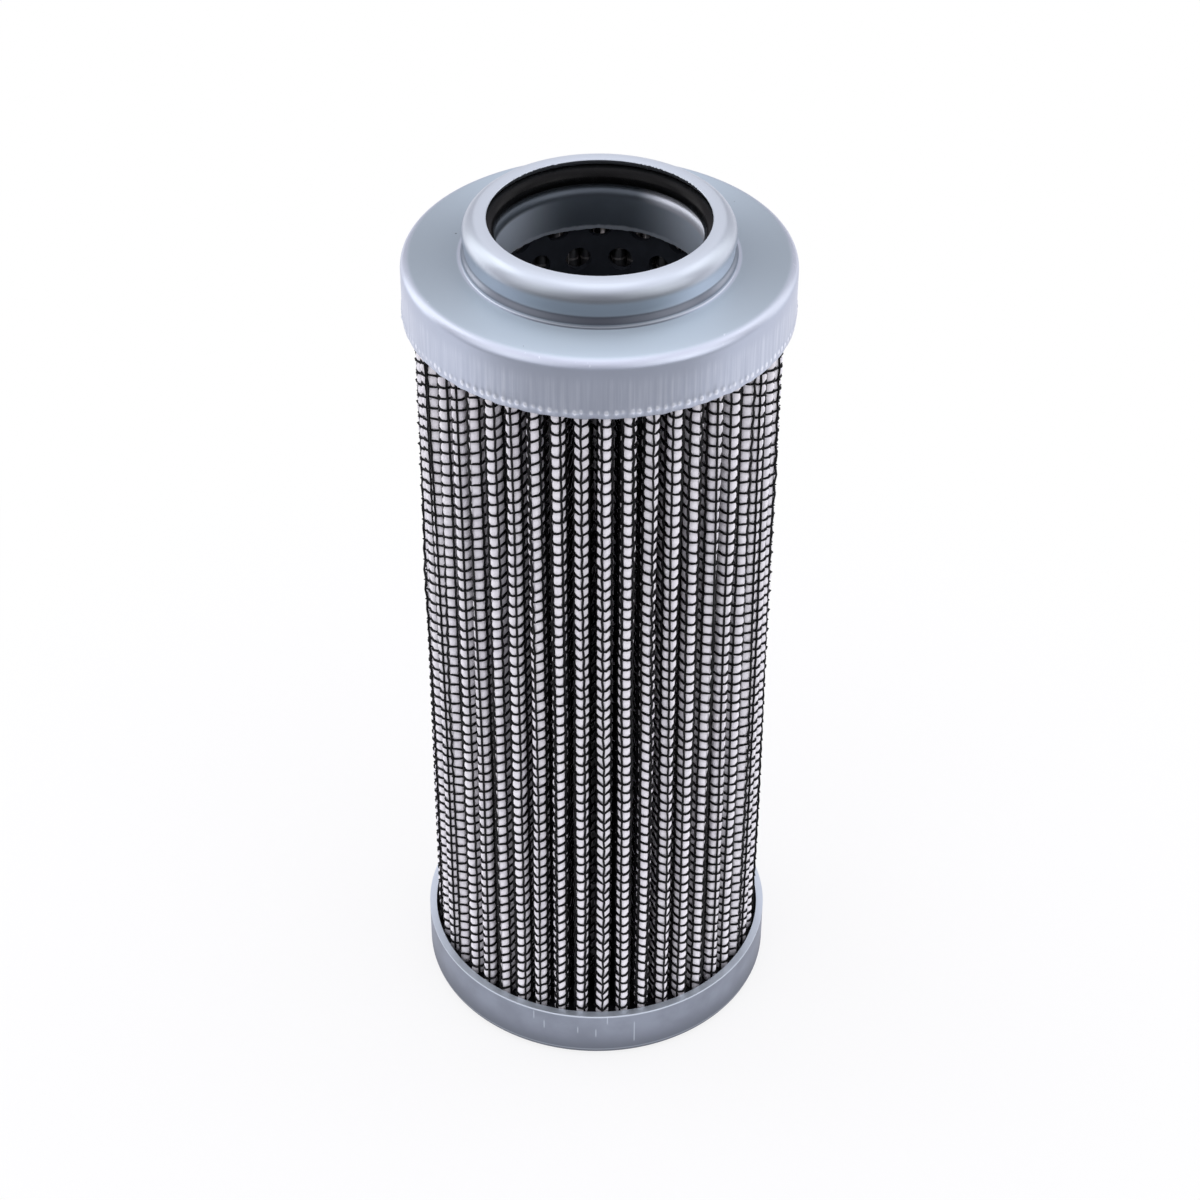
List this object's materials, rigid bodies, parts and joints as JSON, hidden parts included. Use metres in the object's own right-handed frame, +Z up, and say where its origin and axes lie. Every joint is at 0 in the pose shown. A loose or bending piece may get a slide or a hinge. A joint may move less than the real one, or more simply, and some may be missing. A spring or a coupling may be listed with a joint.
{
  "type": "hydraulic filter element",
  "caption": "Pleated cylindrical hydraulic filter element with drawn steel end caps, a stepped open neck holding a seal ring, and a wire mesh over white pleats.",
  "frame": {"origin": "middle of the bottom face of the closed end cap", "axes": "+Z up the element's axis, out of the open neck; -Y is the side that the picture shows as the front"},
  "size_m": [0.045, 0.045, 0.1127],
  "materials": {
    "cap_steel": "satin zinc-plated drawn sheet",
    "seal_rubber": "smooth nitrile, slightly oily",
    "sleeve_steel": "satin plated, in shade",
    "core_steel": "dark coated perforated sheet",
    "inner_wire": "bare wire cloth",
    "media": "white glass fibre under a fine fleece",
    "outer_wire": "black coated wire cloth",
    "potting": "black cast adhesive"
  },
  "bodies": {
    "root": {"top_end_cap": "cap_steel", "seal_ring": "seal_rubber", "neck_sleeve": "sleeve_steel", "core_tube": "core_steel", "inner_mesh": "inner_wire", "filter_media": "media", "outer_mesh": "outer_wire", "top_potting": "potting", "bottom_potting": "potting", "bottom_end_cap": "cap_steel"}
  },
  "joints": []
}
